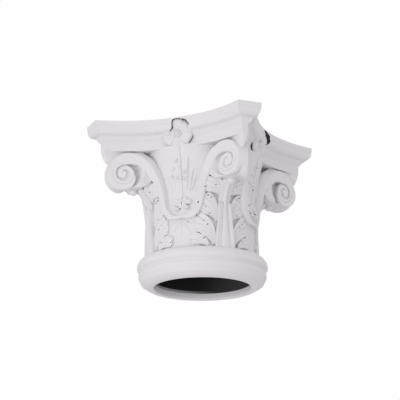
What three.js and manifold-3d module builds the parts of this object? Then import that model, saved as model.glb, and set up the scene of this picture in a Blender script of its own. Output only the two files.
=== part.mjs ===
import * as THREE from 'three';
import Module from 'manifold-3d';

// Corinthian capital, in millimetres, +Z up, neck at the bottom and abacus on top.
// One casting, hollow from the underside to the top.

// Overall
const height = 327;
const shaft_diameter = 200;

// Neck ring, measured out from the bore
const neck_ring_width = 35;
const neck_ring_height = 61;
const seat_width = 13;

// Bell
const bell_wall = 11;
const bell_flare = 17;

// Abacus
const abacus_height = 57.5;
const corner_overhang = 118.5;
const chamfer_half_width = 25.5;
const side_hollow = 49;
const abacus_step_in = 24;

// Volutes
const volute_setback = 22;
const volute_radius = 46;
const eye_in = 66;
const eye_drop = 47.5;
const eye_radius = 9.5;
const web_recess = 14;
const stem_stand = 7;
const stem_lean = 0.108;

// Corner leaves
const leaf_thickness = 9;
const leaf_drop = 66.5;
const leaf_overhang = 41;

// Rosettes
const rosette_width = 67;
const rosette_rise = 59;
const rosette_drop = 34;
const rosette_petals = 6;
const rosette_tilt = 14;
const rosette_gap = 2.5;

const TURN = 2 * Math.PI;
const DEGREE = Math.PI / 180;
const SIDES = 4;
const round_segments = 32;
const side_segments = 6;

const wasm = await Module();
wasm.setup();

// Sizes that follow from the driving ones
const bore_radius = shaft_diameter / 2;
const ring_radius = bore_radius + neck_ring_width;
const bell_neck_radius = bore_radius + bell_wall;
const bell_lip_radius = bell_neck_radius + bell_flare;
const bell_lip_height = height - abacus_height;
const bell_height = bell_lip_height - neck_ring_height;
const corner_reach = bell_lip_radius + corner_overhang;
const eye_reach = corner_reach - eye_in;
const eye_height = bell_lip_height - eye_drop;
const leaf_top = bell_lip_height - leaf_drop;
const leaf_tip_reach = bell_neck_radius + leaf_overhang;

// Small carving is drawn in hundredths of the shaft's radius, and its heights in shares of the bell's height.
const hundredth = bore_radius / 100;
const stem_foot_radius = bell_neck_radius + stem_stand;

function up(share) {
  return neck_ring_height + bell_height * share;
}

// Plan of the abacus. A side is an arc bowed in towards the axis. Its centre is out on the side's normal.
const side_end_n = (corner_reach + chamfer_half_width) / Math.SQRT2;
const side_end_t = (corner_reach - chamfer_half_width) / Math.SQRT2;
const side_radius = (side_end_t ** 2 + side_hollow ** 2) / (2 * side_hollow);
const side_centre = side_end_n - side_hollow + side_radius;

// Distance out from the axis of the side arc, moved in by inset, at t along the side.
function sideFront(t, inset) {
  return side_centre - Math.sqrt((side_radius + inset) ** 2 - t ** 2);
}

// The same arc seen from a corner: half width at a reach along the diagonal.
function cornerHalfWidth(reach, inset) {
  const centre = side_centre / Math.SQRT2;
  return centre - Math.sqrt((side_radius + inset) ** 2 - (reach - centre) ** 2);
}

// A point of the side that faces -Y: n out from the axis, t along the side.
function onSide(n, t, z) {
  return new THREE.Vector3(t, -n, z);
}

// A point near the corner between -Y and +X: reach along the diagonal, across towards the -Y side.
function onCorner(reach, across, z) {
  return new THREE.Vector3((reach - across) / Math.SQRT2, -(reach + across) / Math.SQRT2, z);
}

// A point on a round wall: angle from the middle of the -Y side, positive towards +X.
function onRound(radius, angle, z) {
  return new THREE.Vector3(radius * Math.sin(angle), -radius * Math.cos(angle), z);
}

// Closed solid from rings of points that all have the same count.
function loft(rings) {
  const count = rings[0].length;
  const points = rings.flat();
  const faces = [];
  for (let i = 0; i + 1 < rings.length; i++) {
    for (let j = 0; j < count; j++) {
      const k = (j + 1) % count;
      faces.push([i * count + j, i * count + k, (i + 1) * count + k]);
      faces.push([i * count + j, (i + 1) * count + k, (i + 1) * count + j]);
    }
  }
  for (const [ring, last] of [[0, false], [rings.length - 1, true]]) {
    for (const [a, b, c] of capFaces(rings[ring])) {
      const cap = [ring * count + a, ring * count + b, ring * count + c];
      faces.push(last ? cap : cap.reverse());
    }
  }
  return { points, faces };
}

// Triangles of a flat or nearly flat ring, found in the plane it lies closest to.
function capFaces(ring) {
  const normal = new THREE.Vector3();
  for (let i = 0; i < ring.length; i++) {
    normal.add(new THREE.Vector3().crossVectors(ring[i], ring[(i + 1) % ring.length]));
  }
  normal.normalize();
  const across = Math.abs(normal.z) > 0.9 ? new THREE.Vector3(1, 0, 0) : new THREE.Vector3(0, 0, 1);
  const u = new THREE.Vector3().crossVectors(across, normal).normalize();
  const v = new THREE.Vector3().crossVectors(normal, u);
  const flat = ring.map((p) => new THREE.Vector2(p.dot(u), p.dot(v)));
  return THREE.ShapeUtils.triangulateShape(flat, []);
}

// Closed solid between a front grid and a back grid of the same size.
function slab(front, back) {
  const rings = front.map((row, i) => [...row, ...[...back[i]].reverse()]);
  return loft(rings);
}

// Closed solid turned about the axis from an open profile of [radius, z] that starts and ends on it.
function turned(profile, segments) {
  const inner = profile.slice(1, -1);
  const points = [new THREE.Vector3(0, 0, profile[0][1])];
  for (const [radius, z] of inner) {
    for (let j = 0; j < segments; j++) {
      points.push(onRound(radius, TURN * j / segments, z));
    }
  }
  points.push(new THREE.Vector3(0, 0, profile.at(-1)[1]));
  const top = points.length - 1;
  const faces = [];
  for (let j = 0; j < segments; j++) {
    const k = (j + 1) % segments;
    faces.push([0, 1 + k, 1 + j]);
    for (let i = 0; i + 1 < inner.length; i++) {
      const low = 1 + i * segments;
      const high = low + segments;
      faces.push([low + j, low + k, high + k], [low + j, high + k, high + j]);
    }
    const last = 1 + (inner.length - 1) * segments;
    faces.push([last + j, last + k, top]);
  }
  return { points, faces };
}

function volumeOf({ points, faces }) {
  let sum = 0;
  for (const [a, b, c] of faces) {
    sum += points[a].dot(new THREE.Vector3().crossVectors(points[b], points[c]));
  }
  return sum / 6;
}

// Solid for the booleans, with its faces turned outward.
function solid(shape) {
  const inward = volumeOf(shape) < 0;
  const triVerts = new Uint32Array(shape.faces.flatMap(([a, b, c]) => (inward ? [a, c, b] : [a, b, c])));
  const vertProperties = new Float32Array(shape.points.flatMap((p) => [p.x, p.y, p.z]));
  return new wasm.Manifold(new wasm.Mesh({ numProp: 3, vertProperties, triVerts }));
}

function moved(shape, matrix) {
  return { points: shape.points.map((p) => p.clone().applyMatrix4(matrix)), faces: shape.faces };
}

// The same shape at all four sides or corners.
function aroundAxis(shapes) {
  const out = [];
  for (let side = 0; side < SIDES; side++) {
    const matrix = new THREE.Matrix4().makeRotationZ(side * TURN / SIDES);
    out.push(...shapes.map((shape) => moved(shape, matrix)));
  }
  return out;
}

// The shape and its mirror image across the middle of the -Y side.
function bothHands(shapes) {
  const matrix = new THREE.Matrix4().makeScale(-1, 1, 1);
  return [...shapes, ...shapes.map((shape) => moved(shape, matrix))];
}

function spread(from, to, count) {
  return Array.from({ length: count + 1 }, (_, i) => from + (to - from) * i / count);
}

function smooth(edge0, edge1, value) {
  return THREE.MathUtils.smoothstep(value, edge0, edge1);
}

// Neck ring and bell

function ringProfile() {
  const band_radius = ring_radius - 3 * hundredth;
  const edge = 2 * hundredth;
  const profile = [
    [bore_radius + seat_width, 0],
    [band_radius - edge, 0.125],
    [band_radius, 0.17],
    [band_radius, 0.467],
    [band_radius - edge, 0.5],
  ];
  const roll_depth = ring_radius - bell_neck_radius;
  const roll_middle = 0.664;
  for (const turn of spread(-30, 90, 4)) {
    const angle = turn * DEGREE;
    const rise = turn < 0 ? 0.148 : 1 - roll_middle;
    profile.push([
      bell_neck_radius + roll_depth * Math.cos(angle) ** 0.8,
      roll_middle + rise * Math.sin(angle),
    ]);
  }
  return profile.map(([radius, share]) => [radius, neck_ring_height * share]);
}

// The bell's plain wall lies a little behind its neck, and its top ends inside the abacus.
const bell_sink = 1.5 * hundredth;
const core_top = bell_lip_height + abacus_height * 0.07;

function bellRadius(z) {
  const flare = THREE.MathUtils.clamp((z - up(0.5)) / (bell_lip_height - up(0.5)), 0, 1);
  return bell_neck_radius - bell_sink + (bell_flare + bell_sink) * flare ** 1.4;
}

function bellProfile() {
  return [0.5, 0.787, 1].map((share) => [bellRadius(up(share)), share < 1 ? up(share) : core_top]);
}

function core() {
  return turned([[0, 0], ...ringProfile(), ...bellProfile(), [0, core_top]], round_segments);
}

function bore() {
  const past = 5 * hundredth;
  const profile = [[0, -past], [bore_radius, -past], [bore_radius, height + past], [0, height + past]];
  return turned(profile, round_segments);
}

// Abacus

function abacusRing(inset, z) {
  const reach = corner_reach - inset;
  const half = cornerHalfWidth(reach, inset);
  const end = (reach - half) / Math.SQRT2;
  const sweep = Math.asin(end / (side_radius + inset));
  const side = spread(-sweep, sweep, side_segments).map((angle) => {
    const t = (side_radius + inset) * Math.sin(angle);
    return onSide(sideFront(t, inset), t, z);
  });
  const ring = [];
  for (let i = 0; i < SIDES; i++) {
    const matrix = new THREE.Matrix4().makeRotationZ(i * TURN / SIDES);
    ring.push(...side.map((p) => p.clone().applyMatrix4(matrix)));
  }
  return ring;
}

// Steps of the moulding from the underside up: [inset, drop below the top].
function abacusSteps() {
  const fascia = 0.183;
  const ovolo = 0.261;
  const ovolo_in = 0.5;
  const steps = [
    [1, 1],
    [0.98, 0.687],
    [0.75, 0.6],
    [0.604, 0.496],
  ];
  for (const turn of spread(0, 90, 3)) {
    const angle = turn * DEGREE;
    steps.push([
      ovolo_in * (1 - Math.sin(angle) * 0.9),
      fascia + 0.017 + ovolo * Math.cos(angle),
    ]);
  }
  steps.push([0, fascia], [0, 0]);
  return steps.map(([inset, drop]) => [abacus_step_in * inset, abacus_height * drop]);
}

function abacus() {
  return loft(abacusSteps().map(([inset, drop]) => abacusRing(inset, height - drop)));
}

// Lyre stems and volutes. One band rises from the middle of the side as a stem, passes over the
// volute and winds in to the eye. Its two edges are named outer and inner after their place on the volute.

function stemEdge(points) {
  return new THREE.SplineCurve(points.map(([t, share]) => new THREE.Vector2(t * hundredth, up(share))));
}

// The two stems of a side lap over each other where they meet.
const stem_outer = stemEdge([
  [-1, 0.312], [17, 0.326], [30, 0.393], [35, 0.48], [42, 0.647], [53, 0.782], [69, 0.906], [91, 0.969],
]);
const stem_inner = stemEdge([
  [-1, 0.288], [25, 0.288], [41, 0.369], [48, 0.475], [57, 0.643], [73, 0.763], [88, 0.849], [101, 0.868],
]);

// Reach of the band's edges from the eye as shares of the volute's radius, a quarter turn apart,
// from the top of the volute on.
const turn_outer = [0.96, 0.74, 0.7, 0.52, 0.42, 0.36, 0.3];
const turn_inner = [0.5, 0.48, 0.44, 0.3, 0.2, 0.18, 0.16];

function along(values, turns) {
  const spline = new THREE.SplineCurve(values.map((value, i) => new THREE.Vector2(i, value)));
  return spline.getPoint(turns * 4 / (values.length - 1)).y * volute_radius;
}

// Point of the volute's front, at a turn and a reach from the eye.
function onVolute(turns, reach, recess) {
  const angle = turns * TURN;
  const out = eye_reach + reach * Math.sin(angle) * 0.93;
  return onCorner(out, cornerHalfWidth(out, volute_setback) - recess, eye_height + reach * Math.cos(angle));
}

// The backs of the two volutes at a corner lap over each other on the diagonal.
function backOfVolute(front) {
  const reach = (front.x - front.y) / Math.SQRT2;
  return onCorner(reach, -hundredth, front.z);
}

// The stem lies close to the bell low down and leans out to the line of the side at the top.
function onStem([t, z]) {
  const round_radius = stem_foot_radius + stem_lean * (z - up(0.312));
  const round_n = Math.sqrt(round_radius ** 2 - t ** 2);
  const n = THREE.MathUtils.lerp(round_n, sideFront(t, volute_setback), smooth(up(0.542), up(0.878), z));
  return onSide(n, t, z);
}

function backOfStem(front, share) {
  const low = onSide(bore_radius * 0.8, front.x, front.z);
  return low.lerp(backOfVolute(front), share);
}

function band() {
  const rings = [];
  for (const share of spread(0, 1, 6)) {
    const outer = onStem(stem_outer.getPoint(share).toArray());
    const inner = onStem(stem_inner.getPoint(share).toArray());
    const blend = smooth(0.75, 1, share);
    rings.push([outer, inner, backOfStem(inner, blend), backOfStem(outer, blend)]);
  }
  for (const turns of spread(0.11, 1.1, 9)) {
    const outer = onVolute(turns, along(turn_outer, turns), 0);
    const inner = onVolute(turns, along(turn_inner, turns), 0.5 * hundredth);
    rings.push([outer, inner, backOfVolute(inner), backOfVolute(outer)]);
  }
  return loft(rings);
}

function eye() {
  const front = spread(0, 5 / 6, 5).map((turns) => onVolute(turns, eye_radius, -hundredth));
  return loft([front, front.map(backOfVolute)]);
}

// Plain web behind the band, from one side's volute through the corner to the other's.
function web() {
  const reaches = [0.8, 0.66, 0.62, 0.62, 0.62, 0.6, 0.64, 0.9, 1.16, 1.06, 0.92, 0.82];
  const front = reaches.map((reach, i) => onVolute(i / reaches.length, reach * volute_radius, web_recess));
  const back = front.map((p) => new THREE.Vector3(-p.y, -p.x, p.z));
  return loft([front, back]);
}

// Small tongue from the underside of the abacus down between the volutes, and the wall behind it.
function tongue() {
  const foot = corner_reach - abacus_step_in;
  const behind = (bore_radius + bell_lip_radius) / 2;
  const rows = [
    [foot + hundredth, 13, 1.01],
    [foot - 8 * hundredth, 8, 0.933],
    [eye_reach + volute_radius / 2, 4, 0.789],
  ];
  return loft(rows.map(([reach, width, share]) => {
    const half = width * hundredth;
    return [
      onCorner(reach, half, up(share)),
      onCorner(reach, -half, up(share)),
      onCorner(behind, -half, up(share)),
      onCorner(behind, half, up(share)),
    ];
  }));
}

// Depth inside the bell's wall where carving starts.
const carving_root = bell_neck_radius - bell_wall * 0.55;

// Carving on the bell. A fan spreads leaflets from a root: s across in hundredths and a share of the
// bell's height, mid_angle the wall angle of s = 0, face the radius of the ground it stands on.
function fan({ root, from, to, leaflets, reaches, rise, lift, mid_angle, face }) {
  const front = [];
  const back = [];
  const steps = leaflets * 2;
  for (let i = 0; i <= steps; i++) {
    const share = i / steps;
    const angle = (from + (to - from) * share) * DEGREE;
    const crest = i % 2;
    const place = share * (reaches.length - 1);
    const slot = Math.min(Math.floor(place), reaches.length - 2);
    const reach = THREE.MathUtils.lerp(reaches[slot], reaches[slot + 1], place - slot) * (crest ? 1 : 0.86);
    const row = [];
    const under = [];
    for (const [part, swell] of [[0.12, 0.2], [1, 1]]) {
      const s = (root[0] + reach * part * Math.sin(angle)) * hundredth;
      const z = up(root[1]) + reach * part * Math.cos(angle) * hundredth;
      const ground = face(s, z);
      const stands = (lift + rise * swell * (crest ? 1 : 0.72)) * leaf_thickness;
      row.push(onRound(ground + stands, mid_angle + s / ground, z));
      under.push(onRound(carving_root, mid_angle + s / ground, z));
    }
    front.push(row);
    back.push(under);
  }
  return slab(front, back);
}

// Strip up the wall: rows of [z, half width, radius at the middle, radius at the edges].
function strip(rows, mid_angle) {
  return slab(
    rows.map(([z, half, middle, edge]) => [
      onRound(edge, mid_angle - half / edge, z),
      onRound(middle, mid_angle - half * 0.5 / middle, z),
      onRound(middle, mid_angle + half * 0.5 / middle, z),
      onRound(edge, mid_angle + half / edge, z),
    ]),
    rows.map(([z, half, middle, edge]) => [
      onRound(carving_root, mid_angle - half / edge, z),
      onRound(carving_root, mid_angle - half * 0.5 / middle, z),
      onRound(carving_root, mid_angle + half * 0.5 / middle, z),
      onRound(carving_root, mid_angle + half / edge, z),
    ]),
  );
}

const CORNER_ANGLE = TURN / 8;

// Ground of the corner leaf: close to the bell low down, bent out under the volutes at the top.
function leafGround(s, z) {
  const bend = smooth(up(0.427), leaf_top, z);
  const spread_out = 1 - 0.6 * Math.min(Math.abs(s) / (45 * hundredth), 1);
  return bell_neck_radius + leaf_overhang * 0.66 * bend ** 1.3 * spread_out;
}

const leaf_tiers = [
  { root: [22, 0.014], from: 30, to: 84, leaflets: 2, reaches: [44, 46], rise: 0.67 },
  { root: [20, 0.177], from: 20, to: 76, leaflets: 2, reaches: [44, 42], rise: 0.67 },
  { root: [14, 0.321], from: 18, to: 64, leaflets: 2, reaches: [44, 42], rise: 0.67 },
  { root: [8, 0.475], from: 12, to: 56, leaflets: 1, reaches: [38, 38], rise: 0.56 },
];

function cornerLeaf() {
  const low = neck_ring_height * 0.9;
  const high = leaf_top - 11 * hundredth;
  const parts = [];
  for (const tier of leaf_tiers) {
    for (const hand of [-1, 1]) {
      parts.push(fan({
        ...tier,
        root: [tier.root[0] * hand, tier.root[1]],
        from: tier.from * hand,
        to: tier.to * hand,
        lift: 1 - tier.rise,
        mid_angle: CORNER_ANGLE,
        face: leafGround,
      }));
    }
  }
  parts.push(strip([low, up(0.427), high].map((z) => {
    const half = (24 - 6 * smooth(low, high, z)) * hundredth;
    const face = leafGround(0, z) + leaf_thickness;
    return [z, half, face + 2 * hundredth, face - 2 * hundredth];
  }), CORNER_ANGLE));
  parts.push(leafTip());
  return parts;
}

// Curled end of the leaf: a rounded knob under the volutes.
function leafTip() {
  const half_width = 24 * hundredth;
  const depth = 17 * hundredth;
  const rise = 13 * hundredth;
  const rings = spread(0, 1, 4).map((share) => {
    const angle = (share - 0.5) * Math.PI * 0.9;
    const size = Math.cos(angle);
    return spread(0, 5 / 6, 5).map((turns) => onCorner(
      leaf_tip_reach - depth + depth * size * Math.sin(turns * TURN),
      half_width * Math.sin(angle),
      leaf_top - rise + rise * size * Math.cos(turns * TURN),
    ));
  });
  return loft(rings);
}

// Middle of a side

function bellGround(s, z) {
  return bellRadius(z) - hundredth;
}

function palmette() {
  return [fan({
    root: [0, 0.293], from: 115, to: 245, leaflets: 5,
    reaches: [30, 38, 50, 38, 30], rise: 0.67, lift: 0.22, mid_angle: 0, face: bellGround,
  })];
}

function calyx() {
  const shells = [-1, 1].map((hand) => fan({
    root: [3 * hand, 0.369], from: -4 * hand, to: 60 * hand, leaflets: 2,
    reaches: [36, 30], rise: 0.78, lift: 0.22, mid_angle: 0, face: bellGround,
  }));
  const curls = [-1, 1].map((hand) => knob(11 * hand, 0.408, 9, 8));
  return [...shells, ...curls];
}

// Rounded knob on the wall: s across, its radius and how far it stands out in hundredths.
function knob(s, share, radius, out) {
  const z = up(share);
  const ground = bellRadius(z);
  const rings = [0, 0.8].map((part) => {
    const size = radius * hundredth * Math.sqrt(1 - part ** 2);
    return spread(0.125, 0.875, 3).map((turns) => onRound(
      ground + out * hundredth * part,
      (s * hundredth + size * Math.sin(turns * TURN)) / ground,
      z + size * Math.cos(turns * TURN),
    ));
  });
  const sunk = rings[0].map((p) => new THREE.Vector3(p.x * 0.93, p.y * 0.93, p.z));
  return loft([sunk, ...rings]);
}

function stalk() {
  const half = 3.5 * hundredth;
  return strip([0.427, 1.01].map((share) => {
    const ground = bellRadius(up(share));
    return [up(share), half, ground + 5 * hundredth, ground + 3 * hundredth];
  }), 0);
}

// Slender ridged leaf on the bell between two shares of its height, leaning outward over its length.
function blade(s, low, high, half, lean) {
  return loft(spread(0, 1, 3).map((share) => {
    const z = up(low + (high - low) * share);
    const width = half * Math.sin(Math.PI * (0.15 + share * 0.7));
    const ground = bellRadius(z);
    return [-1, 0, 1].map((side) => onRound(
      ground + (side === 0 ? 4 : -3) * hundredth,
      (s + lean * share + width * side) * hundredth / ground,
      z,
    ));
  }));
}

function blades() {
  const side = [
    [6, 0.542, 0.906, 5, 12],
    [11, 0.532, 0.743, 5, 18],
  ];
  return bothHands(side.map((values) => blade(...values)));
}

// Rosette: petals round a button, tipped forward at the top, on a short neck.
function rosette() {
  const steps = rosette_petals * 2;
  const seat = sideFront(0, 0);
  const tilt = rosette_tilt * DEGREE;
  const place = (x, y, out) => onSide(
    seat + (out - 3) * hundredth * Math.cos(tilt) + y * Math.sin(tilt),
    x,
    height - rosette_drop + y * Math.cos(tilt) - out * hundredth * Math.sin(tilt),
  );
  const ring = (share, out, points, dip) => Array.from({ length: points }, (_, i) => {
    const angle = TURN * (i + 0.5) / points;
    const reach = share * (i % 2 ? 1 : 1 - dip) / 2;
    return place(rosette_width * reach * Math.sin(angle), rosette_rise * reach * Math.cos(angle), out);
  });
  const petals = [
    ring(0.5, -20, steps, 0),
    ring(1, 2, steps, 0.14),
    ring(0.85, 8, steps, 0.1),
    ring(0.3, 4, steps, 0),
  ];
  const button = [ring(0.24, 3, 6, 0), ring(0.24, 8, 6, 0), ring(0.12, 11, 6, 0)];
  return [loft(petals), loft(button)];
}

// Deep cut in the abacus round the upper edge of the rosette.
function rosetteCut() {
  const seat = sideFront(0, 0);
  const at = (extra, angle, n) => onSide(
    n,
    (rosette_width / 2 + extra) * Math.sin(angle),
    height - rosette_drop + (rosette_rise / 2 + extra) * Math.cos(angle),
  );
  const deep = seat - 18 * hundredth;
  const clear = seat + 14 * hundredth;
  const behind = -6 * hundredth;
  const rings = spread(-60, 90, 3).map((turn) => turn * DEGREE).map((angle) => [
    at(behind, angle, deep),
    at(rosette_gap, angle, deep),
    at(rosette_gap, angle, clear),
    at(behind, angle, clear),
  ]);
  return loft(rings);
}

// Assembly

function total(shapes) {
  return shapes.map(solid).reduce((sum, next) => sum.add(next));
}

const side_volutes = bothHands([band(), eye()]);
const carving = [
  ...side_volutes,
  web(),
  tongue(),
  ...cornerLeaf(),
  ...palmette(),
  ...calyx(),
  stalk(),
  ...blades(),
];

const blank = total([core(), abacus()]).subtract(total(aroundAxis([rosetteCut()])));
const carved = blank.add(total(aroundAxis([...carving, ...rosette()])));
const capital = carved.subtract(solid(bore()));

const mesh = capital.getMesh();
const geometry = new THREE.BufferGeometry();
geometry.setAttribute('position', new THREE.BufferAttribute(new Float32Array(mesh.vertProperties), 3));
geometry.setIndex(new THREE.BufferAttribute(new Uint32Array(mesh.triVerts), 1));
geometry.computeVertexNormals();

const finish = new THREE.MeshStandardMaterial({ color: 0xe6e4e6, roughness: 0.6, metalness: 0 });
const part = new THREE.Mesh(geometry, finish);
part.name = 'capital';

const group = new THREE.Group();
group.name = 'corinthian_capital';
group.add(part);

export default group;
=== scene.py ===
import math

import bmesh
import bpy
from mathutils import Matrix, Quaternion, Vector


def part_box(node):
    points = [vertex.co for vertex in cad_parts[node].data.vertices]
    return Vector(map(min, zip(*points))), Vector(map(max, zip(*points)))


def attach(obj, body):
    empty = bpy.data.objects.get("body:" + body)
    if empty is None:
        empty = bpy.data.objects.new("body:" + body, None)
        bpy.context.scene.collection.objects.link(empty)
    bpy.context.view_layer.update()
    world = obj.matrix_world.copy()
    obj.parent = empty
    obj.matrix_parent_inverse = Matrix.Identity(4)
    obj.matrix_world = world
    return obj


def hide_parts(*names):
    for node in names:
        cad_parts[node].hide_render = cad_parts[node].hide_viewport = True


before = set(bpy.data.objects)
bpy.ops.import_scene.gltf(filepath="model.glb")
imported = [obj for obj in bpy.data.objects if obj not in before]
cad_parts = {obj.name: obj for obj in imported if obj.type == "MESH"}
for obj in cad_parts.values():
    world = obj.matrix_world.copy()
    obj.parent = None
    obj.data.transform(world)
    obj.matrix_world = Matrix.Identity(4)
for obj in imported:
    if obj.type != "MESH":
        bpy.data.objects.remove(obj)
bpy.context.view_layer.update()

bl_info = {
    "name": "Corinthian Capital",
    "version": (1, 0, 0),
    "blender": (4, 5, 0),
    "location": "View3D > Sidebar > Capital",
    "description": "Models a cast corinthian capital with its carving, finish and studio",
    "category": "Add Mesh",
}

NODE = "capital"
SIDES = 4
TURN = 2 * math.pi
CORNER_ANGLE = TURN / 8
# How far the camera stands round from the side that faces -Y.
SIDE_TURN = math.radians(22.19)
ROOT_TWO = math.sqrt(2)
# Mirror images: in the middle of the side that faces -Y, and across the diagonal of the corner beside it.
OTHER_HAND = Matrix.Diagonal((-1, 1, 1, 1))
ACROSS_CORNER = Matrix(((0, -1, 0, 0), (-1, 0, 0, 0), (0, 0, 1, 0), (0, 0, 0, 1)))
BOX_LOW, BOX_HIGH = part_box(NODE)
# All drilled marks grow with these, along and across.
MARK_SIZE = (1.1, 1.15)


def length(name, description, default):
    """A size in metres for the panel."""
    return bpy.props.FloatProperty(
        name=name, description=description, default=default, min=0.0, precision=4,
        subtype="DISTANCE", unit="LENGTH",
    )


def colour(name, description, default):
    return bpy.props.FloatVectorProperty(
        name=name, description=description, default=default, size=4, min=0.0, max=1.0, subtype="COLOR",
    )


def share(name, description, default):
    return bpy.props.FloatProperty(
        name=name, description=description, default=default, min=0.0, max=1.0, subtype="FACTOR",
    )


class CapitalSizes(bpy.types.PropertyGroup):
    """Sizes of the casting."""

    height: length("Height", "From the underside to the top", BOX_HIGH[2] - BOX_LOW[2])
    shaft_diameter: length("Shaft diameter", "Width of the opening", 0.200)
    neck_ring_width: length("Neck ring width", "Out from the opening", 0.035)
    neck_ring_height: length("Neck ring height", "Height of the mouldings at the neck", 0.061)
    seat_width: length("Seat width", "Flat rim round the opening", 0.013)
    bell_wall: length("Bell wall", "Thickness of the bell at the neck", 0.011)
    bell_flare: length("Bell flare", "How far the bell's lip stands out past its neck", 0.017)
    abacus_height: length("Abacus height", "Height of the moulded slab on top", 0.0575)
    corner_overhang: length("Corner overhang", "Reach of a corner past the bell's lip", 0.1185)
    chamfer_half_width: length("Corner half width", "Half the cut face of a corner", 0.0255)
    side_hollow: length("Side hollow", "How far a side bows in", 0.049)
    abacus_step_in: length("Abacus step in", "From the top edge in to the underside", 0.024)
    volute_setback: length("Volute setback", "Behind the side's line", 0.022)
    volute_radius: length("Volute radius", "From the eye to the top of the scroll", 0.046)
    eye_in: length("Eye inset", "In from the corner's face", 0.066)
    eye_drop: length("Eye drop", "Below the bell's lip", 0.0475)
    eye_radius: length("Eye radius", "Button in the middle of the scroll", 0.0095)
    web_recess: length("Web recess", "Depth of the plain ground behind the scroll", 0.014)


class CarvingSizes(bpy.types.PropertyGroup):
    """Sizes of the leaves and rosettes."""

    leaf_thickness: length("Leaf thickness", "How far the leaves stand out", 0.009)
    leaf_drop: length("Leaf drop", "Top of the corner leaf below the bell's lip", 0.0665)
    leaf_overhang: length("Leaf overhang", "Reach of the leaf's tip past the bell's neck", 0.041)
    rosette_width: length("Rosette width", "Across the petals", 0.067)
    rosette_rise: length("Rosette rise", "Height of the flower", 0.059)
    rosette_drop: length("Rosette drop", "Middle of the flower below the top", 0.034)
    rosette_tilt: bpy.props.FloatProperty(
        name="Rosette tilt", description="How far the flower tips forward",
        default=math.radians(14), subtype="ANGLE", unit="ROTATION",
    )
    rosette_gap: length("Rosette gap", "Width of the deep cut round the flower", 0.0032)
    rosette_petals: bpy.props.IntProperty(name="Petals", description="Petals of the flower", default=6, min=3)


class FinishChoices(bpy.types.PropertyGroup):
    """Colours of the finish and the studio."""

    primer: colour("Primer", "White satin coat of the casting", (0.800, 0.782, 0.800, 1.0))
    # Painted shade: the near-black colour painted inside the opening above its lip, standing in for the shade
    # deep in the bore.
    hollow: colour("Hollow", "Dark inside of the opening", (0.05, 0.05, 0.052, 1.0))
    floor: colour("Floor", "Pale studio floor", (0.86, 0.86, 0.87, 1.0))
    roughness: share("Roughness", "Roughness of the coat", 0.55)
    backdrop: colour("Backdrop", "Studio background", (1.0, 0.992, 1.0, 1.0))


class Form:
    """Sizes and surfaces that follow from the panel's sizes, all in metres."""

    def __init__(self, scene):
        for group in (scene.capital_sizes, scene.carving_sizes):
            for name in group.__annotations__:
                setattr(self, name, getattr(group, name))
        self.bore_radius = self.shaft_diameter / 2
        self.hundredth = self.bore_radius / 100
        self.ring_radius = self.bore_radius + self.neck_ring_width
        self.bell_neck_radius = self.bore_radius + self.bell_wall
        self.bell_lip_radius = self.bell_neck_radius + self.bell_flare
        self.bell_lip_height = self.height - self.abacus_height
        self.bell_height = self.bell_lip_height - self.neck_ring_height
        self.corner_reach = self.bell_lip_radius + self.corner_overhang
        self.eye_reach = self.corner_reach - self.eye_in
        self.eye_height = self.bell_lip_height - self.eye_drop
        self.leaf_top = self.bell_lip_height - self.leaf_drop
        self.leaf_tip_reach = self.bell_neck_radius + self.leaf_overhang
        self.carving_root = self.bell_neck_radius - self.bell_wall * 0.55
        self.bell_sink = 1.5 * self.hundredth
        side_end_n = (self.corner_reach + self.chamfer_half_width) / ROOT_TWO
        side_end_t = (self.corner_reach - self.chamfer_half_width) / ROOT_TWO
        self.side_radius = (side_end_t**2 + self.side_hollow**2) / (2 * self.side_hollow)
        self.side_centre = side_end_n - self.side_hollow + self.side_radius

    def up(self, part):
        """Height on the bell: 0 at the top of the neck ring, 1 at the lip."""
        return self.neck_ring_height + self.bell_height * part

    def side_front(self, t, inset):
        """Distance out of the side's bowed line, moved in by inset, at t along the side."""
        return self.side_centre - math.sqrt((self.side_radius + inset) ** 2 - t**2)

    def corner_half_width(self, reach, inset):
        """The same line seen from a corner."""
        centre = self.side_centre / ROOT_TWO
        return centre - math.sqrt((self.side_radius + inset) ** 2 - (reach - centre) ** 2)

    def bell_radius(self, z):
        low = self.up(0.5)
        flare = clamp((z - low) / (self.bell_lip_height - low))
        return self.bell_neck_radius - self.bell_sink + (self.bell_flare + self.bell_sink) * flare**1.4

    def leaf_ground(self, s, z):
        """The corner leaf lies close to the bell low down and bends out under the scrolls."""
        bend = smooth(self.up(0.427), self.leaf_top, z)
        spread_out = 1 - 0.6 * min(abs(s) / (45 * self.hundredth), 1)
        sunk = 3 * self.hundredth * smooth(26 * self.hundredth, 50 * self.hundredth, abs(s))
        return self.bell_neck_radius + self.leaf_overhang * 0.66 * bend**1.3 * spread_out - sunk

    def bell_ground(self, s, z):
        return self.bell_radius(z) - self.hundredth

    def on_volute(self, turns, reach, recess):
        """A point of the scroll's front, at a turn and a reach from the eye."""
        angle = turns * TURN
        out = self.eye_reach + reach * math.sin(angle) * 0.93
        half = self.corner_half_width(out, self.volute_setback) - recess
        return on_corner(out, half, self.eye_height + reach * math.cos(angle))

    def on_stem(self, t, z, recess):
        """The stem lies close to the bell low down and leans out to the line of the side at the top."""
        round_radius = self.bell_neck_radius + 7 * self.hundredth + 0.108 * (z - self.up(0.312))
        round_n = math.sqrt(round_radius**2 - t**2)
        lean = smooth(self.up(0.542), self.up(0.878), z)
        n = round_n + (self.side_front(t, self.volute_setback) - round_n) * lean
        return on_side(n - recess, t, z)


# Places on the capital

def on_side(n, t, z):
    """A point of the side that faces -Y: n out from the axis, t along the side."""
    return Vector((t, -n, z))


def on_corner(reach, across, z):
    """A point near the corner between -Y and +X."""
    return Vector(((reach - across) / ROOT_TWO, -(reach + across) / ROOT_TWO, z))


def on_round(radius, angle, z):
    return Vector((radius * math.sin(angle), -radius * math.cos(angle), z))


def clamp(value, low=0.0, high=1.0):
    return max(low, min(high, value))


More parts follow.
